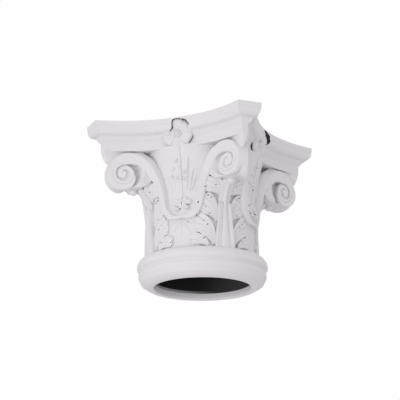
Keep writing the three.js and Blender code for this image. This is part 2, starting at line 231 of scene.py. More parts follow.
def smooth(low, high, value):
    step = clamp((value - low) / (high - low))
    return step * step * (3 - 2 * step)


def spread(low, high, count):
    return [low + (high - low) * i / count for i in range(count + 1)]


def between(values, part):
    """A value of an evenly spaced row, at a part of its length."""
    place = clamp(part) * (len(values) - 1)
    slot = min(int(place), len(values) - 2)
    return values[slot] + (values[slot + 1] - values[slot]) * (place - slot)


def curve(points, part):
    """A point of the smooth curve through evenly spaced points."""
    place = clamp(part) * (len(points) - 1)
    slot = min(int(place), len(points) - 2)
    step = place - slot
    before, start = points[max(slot - 1, 0)], points[slot]
    end, after = points[slot + 1], points[min(slot + 2, len(points) - 1)]
    leave, arrive = (end - before) * 0.5, (after - start) * 0.5
    return (
        (start * 2 - end * 2 + leave + arrive) * step**3
        + (end * 3 - start * 3 - leave * 2 - arrive) * step**2
        + leave * step
        + start
    )


def refined(rings, per):
    """The rings with smoothly bent ones added between them."""
    rows = list(zip(*rings))
    steps = spread(0, 1, (len(rings) - 1) * per)
    return [[curve(row, step) for row in rows] for step in steps]


# Modelling by hand: a round face is added, then drawn out from outline to outline

def clear_selection():
    if bpy.context.object and bpy.context.object.mode == "EDIT":
        bpy.ops.object.mode_set(mode="OBJECT")
    bpy.ops.object.select_all(action="DESELECT")


def choose(piece):
    clear_selection()
    piece.select_set(True)
    bpy.context.view_layer.objects.active = piece


def drawn_out(name, rings):
    """A closed solid through rings of points that all have the same count."""
    clear_selection()
    bpy.ops.mesh.primitive_circle_add(vertices=len(rings[0]), radius=1.0, fill_type="NGON")
    piece = bpy.context.object
    piece.name = piece.data.name = name
    bpy.ops.object.mode_set(mode="EDIT")
    mesh = bmesh.from_edit_mesh(piece.data)
    place = mesh.verts.layers.int.new("place")
    for i, corner in enumerate(mesh.verts):
        corner[place] = i
        corner.co = rings[0][i]
    for ring in rings[1:]:
        bpy.ops.mesh.extrude_region_move()
        mesh = bmesh.from_edit_mesh(piece.data)
        place = mesh.verts.layers.int["place"]
        for corner in mesh.verts:
            if corner.select:
                corner.co = ring[corner[place]]
    mesh.verts.layers.int.remove(place)
    bmesh.update_edit_mesh(piece.data)
    bpy.ops.mesh.select_all(action="SELECT")
    bpy.ops.mesh.normals_make_consistent(inside=False)
    bpy.ops.object.mode_set(mode="OBJECT")
    return piece


def slab(name, front, back):
    """A closed solid between a front grid and a back grid of the same size."""
    return drawn_out(name, [row + under[::-1] for row, under in zip(front, back)])


def turned(name, profile, segments):
    """A closed solid turned about the axis from a profile of radius and height."""
    return drawn_out(name, [
        [on_round(max(radius, 1e-5), TURN * i / segments, z) for i in range(segments)]
        for radius, z in profile
    ])


def copy_of(piece, matrix):
    """A copy with its own mesh, moved and with its faces kept outward."""
    twin = piece.copy()
    twin.data = piece.data.copy()
    bpy.context.collection.objects.link(twin)
    twin.data.transform(matrix)
    if matrix.determinant() < 0:
        twin.data.flip_normals()
    return twin


def both_hands(pieces):
    return pieces + [copy_of(piece, OTHER_HAND) for piece in pieces]


def across_corner(pieces):
    return pieces + [copy_of(piece, ACROSS_CORNER) for piece in pieces]


def combine(piece, tool, operation):
    """Joins or cuts one closed solid with another, which is used up."""
    choose(piece)
    bpy.ops.object.modifier_add(type="BOOLEAN")
    step = piece.modifiers[-1]
    step.operation = operation
    step.solver = "MANIFOLD"
    # Cut faces take the tool's finish, so a tool's painted shade carries into the cut.
    step.material_mode = "TRANSFER"
    step.object = tool
    bpy.ops.object.modifier_apply(modifier=step.name)
    if not piece.data.polygons:
        raise RuntimeError(f"{piece.name} was lost when {tool.name} was worked into it")
    bpy.data.meshes.remove(tool.data)


def made_one(name, pieces):
    whole, *rest = pieces
    for piece in rest:
        combine(whole, piece, "UNION")
    whole.name = whole.data.name = name
    return whole


# Carving on a round wall

def fan(form, name, root, sweep, leaflets, reach, ground, mid_angle, rise=0.67, lift=0.33, curl=20, across=8,
        notch=0.2):
    """Leaflets that leave one root and bend outward, nested like the barbs of a plume."""
    front, back = [], []
    steps = leaflets * across
    parts = [0.06, 0.16, 0.28, 0.4, 0.52, 0.64, 0.76, 0.87, 0.95, 1.0]
    for i in range(steps + 1):
        part_way = i / steps
        angle = math.radians(sweep[0] + (sweep[1] - sweep[0]) * part_way**0.8)
        crest = math.sin(math.pi * (i % across) / across)
        full = between(reach, part_way) * (1 - notch + notch * crest**0.5)
        row, under = [], []
        for part in parts:
            turn = math.radians(curl)
            start, now = angle - turn, angle - turn + 2 * turn * part
            chord = math.sin(turn) / turn
            s_way = (math.cos(start) - math.cos(now)) / (2 * turn * chord)
            z_way = (math.sin(now) - math.sin(start)) / (2 * turn * chord)
            s = (root[0] + full * s_way) * form.hundredth
            z = form.up(root[1]) + full * z_way * form.hundredth
            wall = ground(s, z)
            swell = 0.1 + 0.9 * smooth(0.0, 0.9, part)
            edge = 1 - 0.3 * smooth(0.9, 1.0, part)
            flute = 0.6 + 0.4 * crest**0.5
            stands = form.leaf_thickness * (lift + rise * swell * flute * edge)
            row.append(on_round(wall + stands, mid_angle + s / wall, z))
            under.append(on_round(form.carving_root, mid_angle + s / wall, z))
        front.append(row)
        back.append(under)
    return slab(name, front, back)


def strip(form, name, rows, mid_angle):
    """A moulded strip up the wall, from rows of height, wall radius and pairs of offset and relief."""
    front = [
        [on_round(wall + relief, mid_angle + s / wall, z) for s, relief in section]
        for z, wall, section in rows
    ]
    back = [
        [on_round(form.carving_root, mid_angle + s / wall, z) for s, relief in section]
        for z, wall, section in rows
    ]
    return slab(name, front, back)


def pointed_leaf(form, name, start, direction, long, half, stands, ground, mid_angle, lean=0.0):
    """A slender ridged leaf lying on the wall, from its foot to its point."""
    h = form.hundredth
    heading = math.radians(direction)
    rings = []
    for part in spread(0, 1, 12):
        turn = heading + math.radians(lean) * part
        s = (start[0] + long * part * math.sin((heading + turn) / 2)) * h
        z = form.up(start[1]) + long * part * math.cos((heading + turn) / 2) * h
        width = half * h * (math.sin(math.pi * (0.1 + 0.88 * part)) ** 0.8)
        full = stands * h * (0.35 + 0.65 * math.sin(math.pi * (0.08 + 0.84 * part)))
        ring = []
        for side, relief in [(-1, -2.5), (-1, 0.3), (-0.55, 0.5), (-0.12, 0.62), (0, 1.0),
                             (0.12, 0.62), (0.55, 0.5), (1, 0.3), (1, -2.5)]:
            place_s = s + width * side * math.cos(turn)
            place_z = z - width * side * math.sin(turn)
            wall = ground(place_s, place_z)
            depth = relief * full if relief > 0 else relief * h
            ring.append(on_round(wall + depth, mid_angle + place_s / wall, place_z))
        rings.append(ring)
    return drawn_out(name, rings)


def dome(form, name, middle, radii, out, ground, mid_angle):
    """A rounded knob on the wall."""
    h = form.hundredth
    rings = []
    for part in (-0.6, 0.0, 0.35, 0.65, 0.85, 0.96, 0.995):
        size = math.sqrt(1 - max(part, 0) ** 2)
        ring = []
        for i in range(20):
            angle = TURN * i / 20
            s = (middle[0] + radii[0] * size * math.sin(angle)) * h
            z = form.up(middle[1]) + radii[1] * size * math.cos(angle) * h
            wall = ground(s, z)
            ring.append(on_round(wall + out * part * h, mid_angle + s / wall, z))
        rings.append(ring)
    return drawn_out(name, rings)


def crevice(tool):
    """Gives a cutting tool's faces a near-black painted shade finish, which the faces it cuts take over, so
    that the cut looks as dark as deep shade.
    """
    finish = bpy.data.materials.get("crevice") or painted_crevice_shade_finish("crevice")
    tool.data.materials.append(finish)
    return tool


def drilled(form, s, part, size, ground, mid_angle, slant=0.0):
    """A tool for a small ragged mark, widening outward, whose cut is painted near black as painted shade. Its
    first half size is turned by slant degrees.
    """
    h = form.hundredth
    z = form.up(part)
    wall = ground(s * h, z)
    cosine, sine = math.cos(math.radians(slant)), math.sin(math.radians(slant))
    rings = []
    for depth, width in [(-0.5, 0.6), (5, 0.85), (16, 1.2), (20, 1.4)]:
        ring = []
        for i in range(12):
            ragged = width * (1 + 0.25 * math.sin(2.4 * i + s) + 0.15 * math.sin(4.1 * i + part * 40))
            along = MARK_SIZE[0] * size[0] * ragged * math.cos(TURN * i / 12)
            across = MARK_SIZE[1] * size[1] * ragged * math.sin(TURN * i / 12)
            ring.append(on_round(
                wall + depth * h,
                mid_angle + (s + along * cosine - across * sine) * h / wall,
                z + (along * sine + across * cosine) * h,
            ))
        rings.append(ring)
    return crevice(drawn_out("drill_hole", rings))


class CAPITAL_OT_turned(bpy.types.Operator):
    """Draw out the neck ring and the bell from one round face"""

    bl_idname = "capital.turned"
    bl_label = "Neck Ring and Bell"

    def execute(self, context):
        form = Form(context.scene)
        h = form.hundredth
        band = form.ring_radius - 3 * h
        tall = form.neck_ring_height
        lip = 1.8 * h
        profile = [
            (form.bore_radius * 0.5, lip * 2),
            (form.bore_radius, lip * 2),
            (form.bore_radius + lip * 0.3, lip * 0.8),
            (form.bore_radius + lip, 0),
            (form.bore_radius + form.seat_width * 0.8, 0),
            (form.bore_radius + form.seat_width, 0.3 * h),
            (band - 6.2 * h, tall * 0.13),
            (band - 5.2 * h, tall * 0.15),
            (band - 4.6 * h, tall * 0.18),
            (band - 0.9 * h, tall * 0.29),
            (band - 0.2 * h, tall * 0.315),
            (band, tall * 0.34),
            (band, tall * 0.44),
            (band - 0.4 * h, tall * 0.47),
            (band - 1.4 * h, tall * 0.487),
            (band - 2.2 * h, tall * 0.5),
        ]
        roll_depth = form.ring_radius - form.bell_neck_radius
        roll_middle = 0.664
        for step in spread(-40, 90, 22):
            angle = math.radians(step)
            rise = 0.165 if step < 0 else 1 - roll_middle
            profile.append((
                form.bell_neck_radius + roll_depth * math.cos(angle) ** 0.8,
                tall * (roll_middle + rise * math.sin(angle)),
            ))
        profile += [(form.bell_radius(form.up(part)), form.up(part)) for part in spread(0.01, 1, 16)]
        core_top = form.bell_lip_height + form.abacus_height * 0.07
        profile += [(form.bell_lip_radius, core_top), (form.bell_lip_radius * 0.5, core_top)]
        turned("bell", profile, 144)
        return {"FINISHED"}


class CAPITAL_OT_abacus(bpy.types.Operator):
    """Draw out the moulded slab, hollow on its four sides"""

    bl_idname = "capital.abacus"
    bl_label = "Abacus"

    def execute(self, context):
        form = Form(context.scene)
        fascia, ovolo, ovolo_in = 0.183, 0.261, 0.5
        steps = [(1, 1), (0.995, 0.74), (0.97, 0.695), (0.93, 0.675), (0.78, 0.615), (0.74, 0.595),
                 (0.70, 0.545), (0.62, 0.503), (0.585, 0.492)]
        for step in spread(0, 90, 10):
            angle = math.radians(step)
            steps.append((
                ovolo_in * (1 - math.sin(angle) * 0.9),
                fascia + 0.03 + ovolo * math.cos(angle),
            ))
        steps += [(0.05, fascia + 0.012), (0.012, fascia - 0.004), (0.0, fascia - 0.02)]
        steps += [(0, 0.012), (0.03, 0)]
        rings = [
            self.outline(form, form.abacus_step_in * inset, form.height - form.abacus_height * drop)
            for inset, drop in steps
        ]
        drawn_out("abacus", rings)
        return {"FINISHED"}

    def outline(self, form, inset, z):
        reach = form.corner_reach - inset
        half = form.corner_half_width(reach, inset)
        sweep = math.asin((reach - half) / ROOT_TWO / (form.side_radius + inset))
        ring = []
        for side in range(SIDES):
            turn = Matrix.Rotation(side * TURN / SIDES, 4, "Z")
            for angle in spread(-sweep, sweep, 24):
                t = (form.side_radius + inset) * math.sin(angle)
                ring.append(turn @ on_side(form.side_front(t, inset), t, z))
        return ring


class CAPITAL_OT_volutes(bpy.types.Operator):
    """Draw out the stems that rise from the middle of a side and wind in to the scrolls"""

    bl_idname = "capital.volutes"
    bl_label = "Stems and Volutes"

    stem_outer = [(-1, 0.312), (17, 0.326), (30, 0.393), (35, 0.48), (42, 0.647), (53, 0.782), (69, 0.906),
                  (91, 0.969)]
    stem_inner = [(-1, 0.288), (25, 0.288), (41, 0.369), (48, 0.475), (57, 0.643), (73, 0.763), (88, 0.849),
                  (101, 0.868)]
    # Band and coil on the scroll: turn from the top, outer and inner edge as shares of its radius.
    band_turns = [
        (-0.04, 0.985, 0.425), (0.02, 0.91, 0.39), (0.07, 0.83, 0.42), (0.125, 0.77, 0.52),
        (0.19, 0.745, 0.51), (0.25, 0.755, 0.50), (0.31, 0.765, 0.50), (0.375, 0.765, 0.50),
        (0.44, 0.745, 0.50), (0.5, 0.72, 0.50), (0.56, 0.69, 0.49), (0.61, 0.64, 0.48),
        (0.66, 0.57, 0.46), (0.71, 0.48, 0.44),
    ]
    coil_turns = [
        (0.03, 0.44, 0.375), (0.09, 0.52, 0.37), (0.15, 0.54, 0.37), (0.22, 0.51, 0.37),
        (0.29, 0.50, 0.37), (0.36, 0.50, 0.37), (0.43, 0.50, 0.36), (0.5, 0.505, 0.345),
        (0.57, 0.50, 0.32), (0.64, 0.49, 0.30), (0.71, 0.465, 0.27), (0.78, 0.42, 0.235),
        (0.85, 0.39, 0.21), (0.92, 0.36, 0.18), (1.0, 0.34, 0.14), (1.08, 0.325, 0.10),
        (1.16, 0.31, 0.06), (1.24, 0.295, 0.03), (1.34, 0.275, 0.03), (1.46, 0.25, 0.03),
        (1.56, 0.20, 0.03),
    ]
    # Section of the band from its outer edge to its inner one: place across and depth below the fillet.
    section = [(0, 1.6), (0.04, 0.6), (0.1, 0.15), (0.18, 0.0), (0.26, 0.1), (0.32, 0.5), (0.4, 0.6),
               (0.52, 0.5), (0.68, 0.4), (0.82, 0.5), (0.91, 0.8), (0.97, 1.4), (1.0, 2.4)]
    # The side of a stem slopes to the bell; the side of the scroll is nearly square.
    flank = [(-0.34, 13), (-0.24, 9), (-0.14, 5.5), (-0.05, 3)]
    plain_flank = [(0, 13), (0, 9), (0, 5.5), (0, 3)]
    # Section of the coil, rounded and proud of the band.
    coil_section = [(0, 2.6), (0.03, 1.2), (0.1, 0.0), (0.25, -1.0), (0.45, -1.4), (0.65, -1.2), (0.85, -0.4),
                    (0.95, 0.6), (1.0, 2.4)]

    # Rows of the ground from the eye out: share of the way to its foot, share of the way past it and rise.
    web_steps = [
        (0.03, 0, 0), (0.35, 0, 0), (0.7, 0, 0), (0.9, 0, 0), (1, 0, 0.15), (1, 0.12, 0.8),
        (1, 0.25, 1), (1, 0.6, 1), (1, 1, 1),
    ]
    # How far the scroll hangs lower on a left hand than on a right one, as a share of the radius.
    hang = 0.08

    def execute(self, context):
        form = Form(context.scene)
        both_hands([self.coil(form), self.eye(form)])
        self.band(form, -self.hang / 2)
        left = self.band(form, self.hang / 2)
        left.data.transform(OTHER_HAND)
        left.data.flip_normals()
        self.web(form)
        self.tongue(form)
        return {"FINISHED"}

    def band(self, form, hang):
        h = form.hundredth
        outer = [Vector((t * h, form.up(part))) for t, part in self.stem_outer]
        inner = [Vector((t * h, form.up(part))) for t, part in self.stem_inner]
        rings = []
        for part in spread(0, 1, 14):
            edges = curve(outer, part), curve(inner, part)
            fronts = []
            for across, depth in self.flank + self.section:
                t, z = edges[0].lerp(edges[1], across)
                fronts.append(form.on_stem(t, z, depth * h))
            back_share = smooth(0.75, 1, part)
            rings.append(fronts + [
                self.back_of_stem(form, front, back_share) for front in (fronts[-1], fronts[0])
            ])
        section = self.plain_flank + self.section
        for turns, outer, inner in self.band_turns:
            lower = hang * smooth(0.3, 0.45, turns) * (1 - smooth(0.55, 0.66, turns))
            rings.append(self.wound(form, (turns, outer + lower, inner), section, 0.6))
        return drawn_out("scroll", refined(rings, 3))

    def coil(self, form):
        places = [Vector(place) for place in self.coil_turns]
        rings = [self.wound(form, curve(places, part), self.coil_section, 1.0) for part in spread(0, 1, 72)]
        return drawn_out("coil", rings)

    def wound(self, form, place, section, depth_share):
        """One section of a band that is wound round the eye."""
        turns, outer, inner = place
        fronts = []
        for across, depth in section:
            reach = (outer + (inner - outer) * across) * form.volute_radius
            fronts.append(form.on_volute(turns, reach, depth * depth_share * form.hundredth))
        return fronts + [self.back_of_volute(form, front) for front in (fronts[-1], fronts[0])]

    def back_of_volute(self, form, front):
        """On the diagonal, and higher under the scroll, where the underside rises from the front edge."""
        below = max(0.0, form.eye_height - 10 * form.hundredth - front.z)
        return on_corner((front.x - front.y) / ROOT_TWO, -form.hundredth, front.z + 0.3 * below)

    def back_of_stem(self, form, front, part):
        low = on_side(form.bore_radius * 0.8, front.x, front.z)
        return low.lerp(self.back_of_volute(form, front), part)

    def eye(self, form):
        h = form.hundredth
        steps = [(2.05, 4.8), (1.4, 4.6), (0.66, 4.2), (0.58, 2.0), (0.5, 0.2), (0.36, -0.8), (0.04, -1.2)]
        turns = [i / 28 for i in range(28)]
        rings = [[form.on_volute(turn, form.eye_radius * size, depth * h) for turn in turns]
                 for size, depth in steps]
        backs = [self.back_of_volute(form, point) for point in rings[0]]
        return drawn_out("eye", [backs] + rings)

    def web(self, form):
        """Plain ground behind the scrolls, through the corner from one side's to the other's."""
        h = form.hundredth
        reaches = [0.8, 0.66, 0.62, 0.62, 0.62, 0.58, 0.58, 0.68, 1.12, 1.38, 1.12, 0.84]
        hollow_reach = 0.74
        count = 48
        fronts = [[] for _ in self.web_steps]
        for i in range(count):
            turns = i / count
            edge = curve(reaches + reaches[:1], turns)
            foot = min(edge * 0.9, hollow_reach)
            stem_side = smooth(0.56, 0.66, turns) * (1 - smooth(0.92, 1.0, turns))
            deep = form.web_recess + 5 * h * stem_side
            for ring, (inward, outward, rise) in zip(fronts, self.web_steps):
                reach = foot * inward + (edge - foot) * outward
                rim = 2.4 * h + 11 * h * smooth(0.88, 1.2, reach)
                recess = deep + (rim - deep) * rise * stem_side
                ring.append(form.on_volute(turns, reach * form.volute_radius, recess))
        backs = [[Vector((-p.y, -p.x, p.z)) for p in ring] for ring in reversed(fronts)]
        return drawn_out("web", fronts + backs)

    def tongue(self, form):
        """Small tongue from the underside of the abacus down between the scrolls."""
        h = form.hundredth
        foot = form.corner_reach - form.abacus_step_in
        behind = (form.bore_radius + form.bell_lip_radius) / 2
        rings = []
        for out, width, part in [(1, 10, 1.01), (0, 8.6, 0.985), (-1.5, 7.6, 0.955), (-3.5, 6.4, 0.925),
                                 (-6, 4.8, 0.9), (-9, 3.0, 0.88), (-12, 1.6, 0.868), (-20, 3.4, 0.85),
                                 (-22, 4, 0.789)]:
            reach, half, z = foot + out * h, width * h, form.up(part)
            ring = [
                on_corner(reach - 3 * h * abs(across) ** 2.5, half * across, z)
                for across in (1, 0.92, 0.7, 0.36, 0, -0.36, -0.7, -0.92, -1)
            ]
            rings.append(ring + [on_corner(behind, -half, z), on_corner(behind, half, z)])
        return drawn_out("tongue", rings)


class CAPITAL_OT_corner_leaf(bpy.types.Operator):
    """Carve the tall leaf at a corner, from its lobes, its ribbed middle and its curled tip"""

    bl_idname = "capital.corner_leaf"
    bl_label = "Corner Leaf"

    # Lobes of one half from the top down: root, sweep, leaflets, reaches, relief, lift and curl.
    lobes = [
        ((6, 0.49), (16, 70), 4, (46, 53, 52, 44, 34), 0.50, 0.10, 26),
        ((16, 0.24), (8, 58), 4, (64, 62, 55, 46, 36), 0.52, 0.12, 36),
        ((22, 0.0), (13, 48), 4, (74, 72, 64, 53, 40), 0.62, 0.20, 38),
        ((30, -0.01), (28, 80), 3, (34, 46, 42, 34), 0.62, 0.34, 30),
    ]
    # Deep ragged marks where the lobes meet, painted near black as shade: place across, share of height, half
    # sizes and slant.
    marks = [
        (50, 0.135, 3.0, 0.9, 24), (46, 0.12, 1.2, 1.0, 0), (58, 0.20, 1.0, 1.3, 60),
        (45, 0.345, 2.6, 0.8, 30), (37, 0.39, 1.0, 1.0, 0), (30, 0.325, 2.8, 0.7, -40),
        (33, 0.505, 3.2, 0.9, 8), (27, 0.485, 1.5, 1.2, 0), (22, 0.60, 1.0, 1.6, 70),
        (64, 0.06, 1.2, 0.9, 20), (41, 0.25, 0.9, 1.2, 80), (34, 0.215, 3.2, 0.7, -48),
        (44, 0.012, 3.4, 0.7, 4), (56, 0.012, 2.2, 0.7, 4), (32, 0.012, 1.4, 0.8, 0),
        (54, 0.31, 0.9, 1.4, 10), (61, 0.27, 1.0, 0.9, 0), (50, 0.43, 0.9, 1.8, 20),
        (40, 0.585, 2.2, 0.8, -20), (40, 0.08, 2.8, 0.7, -35),
    ]

    # Curled end: place out from the tip, drop below the top, and half sizes across, out and up.
    tip_parts = [("leaf_shoulder", -18, 10, 12, 12, 8), ("leaf_tip", 1.5, 12.6, 8.4, 8.4, 8)]

    def execute(self, context):
        form = Form(context.scene)
        h = form.hundredth
        for number, (root, sweep, leaflets, reach, rise, lift, curl) in enumerate(self.lobes):
            lobe = fan(form, f"lobe_{number}", root, sweep, leaflets, reach, form.leaf_ground, CORNER_ANGLE,
                       rise=rise, lift=lift, curl=curl, across=8, notch=0.14)
            across_corner([lobe])
        self.middle(form, h)
        self.tip(form, h)
        for s, part, long, wide, slant in self.marks:
            across_corner([drilled(form, s, part, (long, wide), form.leaf_ground, CORNER_ANGLE, slant)])
        return {"FINISHED"}

    def middle(self, form, h):
        """Ribbed strip up the middle of the leaf."""
        low, high = form.neck_ring_height * 0.9, form.leaf_top - 11 * h
        panel_top = form.up(0.44)
        rows = []
        for z in spread(low, high, 26):
            along = smooth(low, panel_top, z)
            edge = (21 - 8 * along) * h
            rib = (8.5 - 5.0 * along) * h
            wall = form.leaf_ground(0, z) + form.leaf_thickness
            past = smooth(panel_top - 3 * h, panel_top + 3 * h, z)
            rim = 2.4 * h * (1 - past) - 3.5 * h * past
            flute = 0.2 * h * (1 - past) - 3.0 * h * past
            groove = -1.2 * h
            half = [
                (edge, rim - 1.8 * h), (edge * 0.97, rim - 0.3 * h), (edge * 0.9, rim),
                (edge * 0.8, rim - 0.2 * h), (edge * 0.66, flute),
                (edge * 0.5 + rib * 0.3, flute - 0.3 * h), (rib * 1.25, flute), (rib * 1.08, groove),
                (rib * 0.94, 0.9 * h), (rib * 0.75, 1.5 * h), (rib * 0.4, 2.0 * h),
            ]
            section = [(-s, relief) for s, relief in half] + [(0, 2.1 * h)] + list(reversed(half))
            rows.append((z, wall, section))
        return strip(form, "leaf_middle", rows, CORNER_ANGLE)

    def tip(self, form, h):
        """Curled end of the leaf under the scrolls: a shoulder that turns over into a small knob."""
        for name, reach, drop, across, out, tall in self.tip_parts:
            rings = []
            for part in spread(-1, 1, 20):
                angle = part * math.pi * 0.485
                size = math.cos(angle) ** 0.85
                rings.append([
                    on_corner(
                        form.leaf_tip_reach + (reach + out * size * math.sin(turn * TURN)) * h,
                        across * h * math.sin(angle),
                        form.leaf_top + (tall * size * math.cos(turn * TURN) - drop) * h,
                    )
                    for turn in [i / 18 for i in range(18)]
                ])
            drawn_out(name, rings)


class CAPITAL_OT_side_carving(bpy.types.Operator):
    """Carve the palmette, the stalk, the tuft at its foot and the small plant in the middle of a side"""

    bl_idname = "capital.side_carving"
    bl_label = "Side Carving"

    # Small leaves round the stalk: foot, direction, length, half width, relief and lean.
    blades = [
        (13, 0.58, 3, 66, 3.6, 5.0, 6), (18, 0.56, 9, 48, 3.2, 4.6, 8),
        (22, 0.56, 16, 34, 3.0, 4.2, 10), (-12, 0.56, -4, 44, 3.4, 2.6, -6),
        (-17, 0.54, -12, 34, 3.0, 2.4, -8),
    ]
    # Small curls up the stalk and the tuft at its foot: middle, half sizes and relief.
    curls = [
        (-8, 0.86, 5.0, 3.4, 6), (-15, 0.79, 4.4, 3.4, 5), (-20, 0.715, 4.4, 3.6, 5),
        (9, 0.75, 4.2, 3.4, 6), (8, 0.68, 3.6, 3.4, 5), (-8, 0.70, 4.0, 3.6, 5),
        (0, 0.80, 3.6, 4.6, 6), (0, 0.70, 4.6, 8.0, 7), (-16, 0.445, 6.0, 6.0, 5),
        (-9, 0.468, 6.0, 7.0, 6), (-1, 0.478, 6.0, 7.0, 7), (8, 0.475, 6.5, 7.5, 8),
        (16, 0.452, 7.0, 7.5, 8), (-1, 0.425, 13.0, 9.0, 4), (-9, 0.386, 6.6, 4.8, 11),
        (11.5, 0.392, 5.8, 5.2, 12),
    ]
    # Ragged marks, painted near black as shade: place across, share of height, half sizes and slant.
    marks = [
        (-2.5, 0.875, 1.0, 1.6, 0), (-10, 0.825, 0.9, 1.2, 0), (-16, 0.75, 0.9, 1.3, 0),
        (13, 0.775, 1.3, 0.8, 0), (-2.8, 0.652, 1.4, 1.1, 0), (12.5, 0.70, 0.8, 1.4, 0),
        (21, 0.89, 0.6, 2.4, -8), (26, 0.79, 0.6, 2.0, -8), (30, 0.715, 0.6, 1.6, -8),
        (5, 0.62, 0.6, 1.6, 0), (-9, 0.412, 4.2, 0.8, 4), (-2.5, 0.385, 1.1, 1.6, 0),
        (13, 0.425, 4.4, 0.8, -6), (18.5, 0.405, 0.8, 1.6, 0), (11, 0.358, 2.0, 0.8, 20),
        (1, 0.44, 0.6, 4.0, 2), (7, 0.517, 3.2, 0.8, -4), (15, 0.505, 3.2, 0.8, -18),
        (-5, 0.512, 1.4, 0.7, 20), (-13, 0.488, 1.6, 0.7, 36), (-20, 0.46, 1.4, 0.7, 40),
        (3.5, 0.485, 0.8, 0.8, 0), (14, 0.25, 3.0, 0.7, -60), (19, 0.222, 2.2, 0.7, -64),
    ]

    def execute(self, context):
        form = Form(context.scene)
        h = form.hundredth
        ground = form.bell_ground
        for number, (direction, long) in enumerate([(118, 25), (148, 30), (180, 32), (212, 30), (242, 25)]):
            pointed_leaf(form, f"palmette_{number}", (0, 0.285), direction, long, 5.6, 3.4, ground, 0)
        self.stalk(form, h)
        for number, (s, part, wide, tall, out) in enumerate(self.curls):
            dome(form, f"curl_{number}", (s, part), (wide, tall), out, ground, 0)
        for s, part, wide, tall, slant in self.marks:
            drilled(form, s, part, (wide, tall), ground, 0, slant)
        for number, (s, part, direction, long, half, stands, lean) in enumerate(self.blades):
            pointed_leaf(
                form, f"blade_{number}", (s, part), direction, long, half, stands, ground, 0, lean=lean)
        return {"FINISHED"}

    def stalk(self, form, h):
        rows = []
        for part in spread(0.40, 1.01, 12):
            z = form.up(part)
            section = [(-3.6 * h, 0), (-3.0 * h, 2.2 * h), (-1.4 * h, 3.2 * h), (1.4 * h, 3.2 * h),
                       (3.0 * h, 2.2 * h), (3.6 * h, 0)]
            rows.append((z, form.bell_radius(z), section))
        return strip(form, "stalk", rows, 0)


class CAPITAL_OT_rosette(bpy.types.Operator):
    """Model the flower in the middle of a side of the abacus and the deep cut round it"""

    bl_idname = "capital.rosette"
    bl_label = "Rosette"

    set_back = 16

    # Flower from its neck to its button: share of the width, how far out, petal depth and flute depth.
    steps = [
        (0.50, -20, 0, 0), (0.99, -8, 0, 0), (1.0, 0.5, 0.01, 0), (0.995, 1.5, 0.04, 0.4),
        (1.0, 3.2, 0.05, 0.9), (0.985, 5.0, 0.06, 1.2), (0.94, 6.4, 0.06, 1.2), (0.86, 7.2, 0.06, 1.1),
        (0.76, 7.0, 0.06, 1.0), (0.65, 6.6, 0.08, 0.8), (0.54, 5.4, 0.05, 0.6), (0.44, 4.4, 0.0, 0.4),
        (0.36, 3.6, 0, 0.2), (0.30, 3.2, 0, 0), (0.265, 5.6, 0, 0), (0.245, 7.6, 0, 0), (0.20, 8.6, 0, 0),
        (0.165, 7.6, 0, 0), (0.14, 6.8, 0, 0), (0.12, 8.2, 0, 0), (0.09, 10.0, 0, 0), (0.04, 10.8, 0, 0),
    ]

    def execute(self, context):
        form = Form(context.scene)
        self.flower(form)
        self.cut(form)
        return {"FINISHED"}

    def flower(self, form):
        h = form.hundredth
        seat = form.side_front(0, 0)
        per_petal = 16
        count = form.rosette_petals * per_petal
        rings = []
        for size, out, depth, flute in self.steps:
            ring = []
            for i in range(count):
                angle = TURN * i / count
                petal = (i / per_petal + 0.5) % 1
                belly = math.sin(math.pi * petal)
                scallop = abs(math.cos(math.pi * petal * 4)) ** 0.6
                uneven = 1 + 0.025 * math.sin(2 * angle + 1) + 0.02 * math.sin(5 * angle)
                reach = size * uneven * (1 - depth * (1 - belly**0.45) - 0.12 * depth * scallop) / 2
                valley = (1 - belly**0.5) * 2.6 * flute
                lines = scallop * 0.8 * flute
                x = form.rosette_width * reach * math.sin(angle)
                y = form.rosette_rise * reach * math.cos(angle)
                stand = (out - self.set_back - valley - lines) * h
                ring.append(on_side(
                    seat + stand * math.cos(form.rosette_tilt) + y * math.sin(form.rosette_tilt),
                    x,
                    form.height - form.rosette_drop + y * math.cos(form.rosette_tilt)
                    - stand * math.sin(form.rosette_tilt),
                ))
            rings.append(ring)
        flower = crevice(drawn_out("flower", rings))
        # The first slot holds the near-black painted shade; the casting's coat is added in the second slot,
        # for all faces but those behind the petals, which keep the painted shade.
        for face in flower.data.polygons:
            out, up = -face.center.y - seat, face.center.z - (form.height - form.rosette_drop)
            stand = out * math.cos(form.rosette_tilt) - up * math.sin(form.rosette_tilt)
            face.material_index = 0 if stand < -self.set_back * h else 1
        return flower

    def cut(self, form):
        """Deep cut in the abacus round the upper edge of the flower; its faces carry the near-black painted
        shade into the cut.
        """
        h = form.hundredth
        seat = form.side_front(0, 0)
        middle = form.height - form.rosette_drop
        top_room = form.height - 2.6 * h
        rings = []
        for depth, size in [(-24 * h, 0.6), (-23 * h, 1.0), (14 * h, 1.0), (15 * h, 0.6)]:
            ring = []
            for i in range(72):
                step = 360 * i / 72 - 180
                angle = math.radians(step)
                ragged = 1 + 0.35 * math.sin(step * 0.21) + 0.2 * math.sin(step * 0.47 + 1)
                open_part = smooth(-30, -5, step) * (1 - smooth(55, 80, step))
                gap = form.rosette_gap * ragged * open_part - 15 * h * (1 - open_part)
                z = middle + (form.rosette_rise / 2 + gap) * size * math.cos(angle)
                ring.append(on_side(
                    seat + depth, (form.rosette_width / 2 + gap) * size * math.sin(angle), min(z, top_room)))
            rings.append(ring)
        return crevice(drawn_out("flower_cut", rings))


